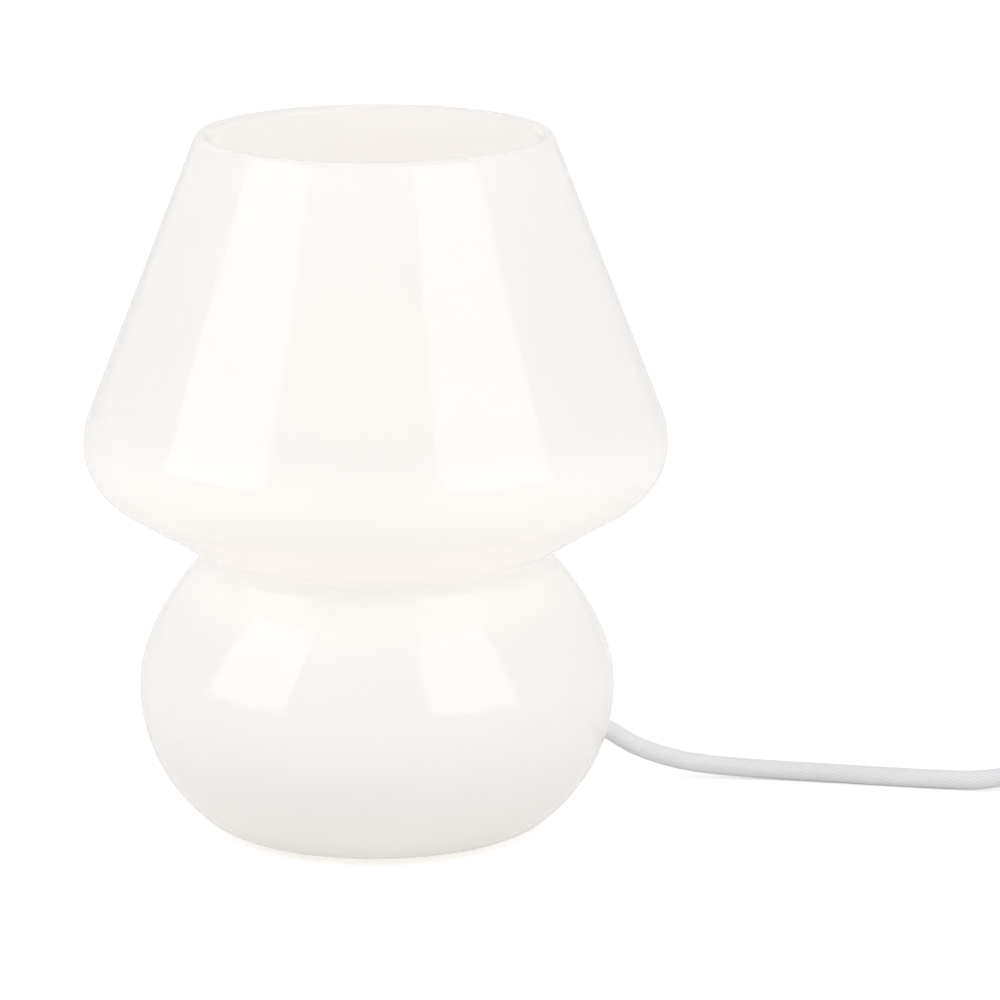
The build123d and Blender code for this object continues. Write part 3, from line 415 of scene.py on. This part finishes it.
def punt(inset, foot):
    """Points of the pushed-up bottom, from the lamp's axis out to the foot."""
    outer_radius = (PUNT_HALF_WIDTH ** 2 + PUNT_RISE ** 2) / (2 * PUNT_RISE)
    radius = outer_radius + inset
    centre = PAD_HEIGHT + PUNT_RISE - outer_radius
    half = math.acos((foot.y - centre) / radius)
    points = []
    for index in range(PUNT_STEPS + 1):
        angle = half * index / PUNT_STEPS
        points.append(Vector((radius * math.sin(angle), centre + radius * math.cos(angle))))
    return points


def glass_profile():
    """Closed half section: outer skin from the punt to the rim, the rim's round, inner skin back.

    The second value is the place of the rim's top point, where the inner skin begins."""
    bends = make_bends()
    outer = outline(bends, 0.0)
    inner = outline(bends, WALL)
    outer_floor = punt(0.0, outer[0])
    inner_floor = punt(WALL, inner[0])
    middle = (outer[-1] + inner[-1]) / 2
    rim = []
    for index in range(1, RIM_STEPS):
        rim.append(middle + unit(SIDE - 90 + 180 * index / RIM_STEPS) * (WALL / 2))
    profile = outer_floor + outer + rim + inner[::-1] + inner_floor[::-1]
    clean = []
    for point in profile:
        if not clean or (point - clean[-1]).length > LEAST_STEP:
            clean.append(point)
    rim_top = rim[len(rim) // 2]
    rim_at = min(range(len(clean)), key=lambda index: (clean[index] - rim_top).length)
    return clean, rim_at


def glass_mesh():
    """The half section turned about the lamp's axis; material 0 is outside, 1 is inside."""
    profile, rim_at = glass_profile()
    mesh = bpy.data.meshes.new("opal_glass")
    work = bmesh.new()
    rings = []
    for point in profile:
        if point.x < LEAST_STEP:
            rings.append([work.verts.new((0, 0, point.y * MM))])
            continue
        ring = []
        for index in range(AROUND):
            angle = 2 * math.pi * index / AROUND
            ring.append(work.verts.new((
                point.x * MM * math.cos(angle), point.x * MM * math.sin(angle), point.y * MM)))
        rings.append(ring)
    for place, (first, second) in enumerate(zip(rings, rings[1:])):
        for index in range(AROUND):
            after = (index + 1) % AROUND
            if len(first) == 1:
                corners = [first[0], second[after], second[index]]
            elif len(second) == 1:
                corners = [first[index], first[after], second[0]]
            else:
                corners = [first[index], first[after], second[after], second[index]]
            face = work.faces.new(corners)
            face.smooth = True
            face.material_index = 1 if place >= rim_at else 0
    bmesh.ops.recalc_face_normals(work, faces=work.faces)
    work.to_mesh(mesh)
    work.free()
    return mesh


def bore(mesh, start, direction, radius, length):
    """The mesh with a round hole cut along a line, as a new mesh."""
    cutter = bpy.data.meshes.new("cutter")
    work = bmesh.new()
    bmesh.ops.create_cone(
        work, cap_ends=True, segments=64, radius1=radius, radius2=radius, depth=length)
    turn = direction.to_track_quat("Z", "Y").to_matrix().to_4x4()
    work.transform(Matrix.Translation(start) @ turn)
    work.to_mesh(cutter)
    work.free()
    body = link(bpy.data.objects.new("body_before_hole", mesh))
    tool = link(bpy.data.objects.new("hole_tool", cutter))
    change = body.modifiers.new("hole", "BOOLEAN")
    change.object = tool
    change.operation = "DIFFERENCE"
    change.solver = "EXACT"
    evaluated = body.evaluated_get(bpy.context.evaluated_depsgraph_get())
    cut = bpy.data.meshes.new_from_object(evaluated)
    bpy.data.objects.remove(body)
    bpy.data.objects.remove(tool)
    return cut


# ---------------------------------------------------------------- glass material
# Painted glow: the outer skin's emission by height stands in for the bulb's light coming through
# the glass.
GLOW_HEIGHT = 200            # the ramp's span, in millimetres
GLOW_TINT = (1.0, 0.91, 0.84)
GLOW_LEVELS = (              # height in millimetres, strength
    (0, 0.16), (11, 0.165), (25, 0.155), (37, 0.18), (48, 0.185), (58, 0.175), (68, 0.185),
    (78, 0.235), (85, 0.265), (95, 0.26), (101, 0.265), (108, 0.25), (114, 0.23), (124, 0.18),
    (134, 0.185), (144, 0.175), (165, 0.175), (185, 0.18), (195, 0.185), (200, 0.18))
OPAL = (0.84, 0.828, 0.808)
# Painted glow of the inner skin: a flat emission that stands in for the bulb's light inside the
# glass.
PAINTED_INSIDE_GLOW = (0.11, 0.117, 0.13)


def painted_glow(tree):
    """Painted glow in the outer skin: a warm emission by height that stands in for the bulb's light
    through the glass, strongest at the waist.
    """
    share = tree.range(tree.split(tree.object_position())[2], 0.0, GLOW_HEIGHT * MM)
    stops = [(z / GLOW_HEIGHT, tuple(level * value for value in GLOW_TINT))
             for z, level in GLOW_LEVELS]
    return tree.ramp(share, stops, "LINEAR")


def opal(name, inside):
    """Opal glass: milky and faintly see-through, with a fire-polished skin; the outer skin carries
    a painted warm glow by height and the inner skin a flat painted glow, both as emission.
    """
    material, tree = new_material(name)
    wave = tree.noise(tree.object_position(), 28.0, 1.0, 0.3)
    shader = tree.principled(
        Base_Color=rgba(OPAL), Roughness=0.7, IOR=1.5,
        Emission_Color=rgba(PAINTED_INSIDE_GLOW) if inside else painted_glow(tree), Emission_Strength=1.0,
        Transmission_Weight=0.7 if inside else 0.24, Coat_Weight=0.5 if inside else 1.0,
        Coat_Roughness=0.3 if inside else 0.045, Coat_IOR=1.5)
    tree.join(tree.bump(wave, 0.25, 0.002), shader.inputs["Coat Normal"])
    tree.surface(shader)
    return material


glass_skin = glass_mesh()
glass_skin.materials.append(opal("opal_outside", False))
glass_skin.materials.append(opal("opal_inside", True))
hole_start, hole_inside = Vector(HOLE_EXIT) * MM, Vector(HOLE_INSIDE) * MM
glass = link(bpy.data.objects.new(
    "opal_body",
    bore(glass_skin, hole_start, hole_start - hole_inside, GROMMET_HOLE, GROMMET_CUT)))
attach(glass, "lamp")
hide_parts("glass_body")


# ---------------------------------------------------------------- other materials
def frosted_cover():
    """The lit bulb's frosted globe, brightest a little under its top."""
    material, tree = new_material("frosted_cover")
    place = tree.object_position()
    height = tree.range(tree.split(place)[2], 0.11, 0.151)
    light = tree.ramp(height, [
        (0.0, (0.35, 0.28, 0.18)), (0.4, (0.92, 0.74, 0.49)), (0.8, (1.0, 0.82, 0.56)),
        (1.0, (0.9, 0.73, 0.49))])
    grain = tree.noise(place, 900.0, 2.0)
    shader = tree.principled(
        Base_Color=rgba((0.42, 0.41, 0.39)), Roughness=tree.range(grain, 0.3, 0.7, 0.35, 0.5),
        Emission_Color=light, Emission_Strength=1.0)
    tree.join(tree.bump(grain, 0.1, 0.0002), shader.inputs["Normal"])
    tree.surface(shader)
    return material


finishes = (
    (moulded("silicone", linear(226, 228, 228), 0.5, grain=0.1),
     ["foot_pads", "spider_sleeves"]),
    (moulded("grommet_rubber", linear(238, 238, 236), 0.55, grain=0.15), ["cord_grommet"]),
    (moulded("spring_steel", (0.62, 0.61, 0.58), 0.32, grain=0.1, metallic=1.0),
     ["holder_spider", "plunger_spring"]),
    (moulded("holder_plastic", linear(236, 235, 230), 0.38, grain=0.15),
     ["shade_ring", "holder_shell", "holder_cap"]),
    (moulded("contact_ceramic", linear(232, 228, 218), 0.6, grain=0.2), ["contact_block"]),
    (moulded("contact_brass", (0.78, 0.6, 0.3), 0.3, grain=0.1, metallic=1.0),
     ["contact_sleeve", "centre_contact", "bulb_contact", "switch_plunger", "switch_lever",
      "fixed_contact", "pivot_contact", "neutral_link"]),
    (moulded("screw_steel", (0.7, 0.7, 0.7), 0.28, grain=0.1, metallic=1.0),
     ["grip_screw", "holder_screws", "switch_screws", "strap_screws", "housing_screws"]),
    (moulded("core_insulation", linear(60, 92, 160), 0.4), ["cord_cores", "switch_cores"]),
    (moulded("bulb_cap_metal", (0.78, 0.78, 0.78), 0.3, grain=0.1, metallic=1.0), ["bulb_cap"]),
    (moulded("bulb_plastic", linear(240, 240, 238), 0.42, grain=0.1), ["bulb_body"]),
    (moulded("insulator_glass", (0.01, 0.01, 0.012), 0.15), ["bulb_insulator"]),
    (moulded("board_white", linear(238, 238, 238), 0.4), ["led_board"]),
    (moulded("led_phosphor", linear(245, 215, 110), 0.35), ["led_chips"]),
    (moulded("switch_plastic", linear(240, 240, 238), 0.24, grain=0.08, coat=0.2),
     ["switch_base", "switch_cover", "switch_rocker", "cord_straps"]),
    (moulded("plug_plastic", linear(239, 239, 237), 0.34, grain=0.12),
     ["plug_relief", "plug_body"]),
    (moulded("pin_metal", (0.8, 0.79, 0.76), 0.2, grain=0.05, metallic=1.0), ["plug_pins"]),
    (moulded("pin_sleeve", linear(64, 64, 66), 0.45), ["pin_sleeves"]),
    (moulded("tie_fabric", linear(232, 232, 232), 0.9, grain=0.8, grain_size=0.0008),
     ["cord_tie"]),
    (frosted_cover(), ["bulb_globe"]),
    (lead.data.materials[0], ["inner_cord"]))
for material, names in finishes:
    dress(names, material)
    soften(names)

# ---------------------------------------------------------------- studio
# The world is white to the camera and through glass, a little under white in reflections, and a
# softer light on the lamp itself.
world = bpy.data.worlds.new("studio")
bpy.context.scene.world = world
world_tree = Nodes(world)
path = world_tree.add("ShaderNodeLightPath")
seen = world_tree.math(
    "MAXIMUM", path.outputs["Is Camera Ray"], path.outputs["Is Transmission Ray"])
level = world_tree.mix(seen, rgba((0.65, 0.66, 0.68)), rgba((1.0, 1.0, 1.0)))
mirrored = world_tree.mix(path.outputs["Is Glossy Ray"], level, rgba((0.9, 0.9, 0.9)))
background = world_tree.add("ShaderNodeBackground")
world_tree.join(mirrored, background.inputs["Color"])
world_output = world_tree.add("ShaderNodeOutputWorld")
world_tree.join(background.outputs[0], world_output.inputs["Surface"])

# The floor is lifted to the photograph's white only for rays from the camera, a mirror or glass.
FLOOR_HALF = 6
FLOOR_LIFT = 0.48            # seen by the camera
FLOOR_MIRRORED = 0.28        # seen in a reflection or through the glass

floor_mesh = bpy.data.meshes.new("floor")
floor_mesh.from_pydata(
    [(-FLOOR_HALF, -FLOOR_HALF, 0), (FLOOR_HALF, -FLOOR_HALF, 0),
     (FLOOR_HALF, FLOOR_HALF, 0), (-FLOOR_HALF, FLOOR_HALF, 0)], [], [(0, 1, 2, 3)])
floor = link(bpy.data.objects.new("floor", floor_mesh))
floor_material, floor_tree = new_material("floor_white")
floor_diffuse = floor_tree.add("ShaderNodeBsdfDiffuse")
floor_diffuse.inputs["Color"].default_value = rgba((0.8, 0.792, 0.775))
floor_light = floor_tree.add("ShaderNodeEmission")
floor_path = floor_tree.add("ShaderNodeLightPath")
floor_direct = floor_tree.math("MULTIPLY", floor_path.outputs["Is Camera Ray"], FLOOR_LIFT)
floor_seen = floor_tree.math(
    "MAXIMUM", floor_path.outputs["Is Glossy Ray"], floor_path.outputs["Is Transmission Ray"])
floor_strength = floor_tree.math("MULTIPLY_ADD", floor_seen, FLOOR_MIRRORED, floor_direct)
floor_tree.join(floor_strength, floor_light.inputs["Strength"])
floor_sum = floor_tree.add("ShaderNodeAddShader")
floor_tree.join(floor_diffuse.outputs[0], floor_sum.inputs[0])
floor_tree.join(floor_light.outputs[0], floor_sum.inputs[1])
floor_tree.surface(floor_sum)
floor.data.materials.append(floor_material)


def softbox(name, azimuth, low, high, half_width, distance, radiance):
    """A tall box of light seen from the lamp over a range of elevation, at an azimuth from -Y.

    Angles are in degrees and lengths in metres."""
    low_rise = math.tan(math.radians(low)) * distance
    high_rise = math.tan(math.radians(high)) * distance
    width = 2 * distance * math.tan(math.radians(half_width))
    height = high_rise - low_rise
    data = bpy.data.lights.new(name, "AREA")
    data.shape = "RECTANGLE"
    data.size = width
    data.size_y = height
    data.energy = radiance * math.pi * width * height
    box = link(bpy.data.objects.new(name, data))
    turn = math.radians(azimuth)
    box.location = (math.sin(turn) * distance, -math.cos(turn) * distance,
                    (low_rise + high_rise) / 2 + 0.1)
    box.rotation_euler = (math.radians(90), 0, turn)
    box.visible_camera = False


softbox("left_box", -64.5, 3, 50, 22.5, 1.0, 1.22)
softbox("right_box", 49.0, 3, 50, 22.5, 1.0, 1.22)
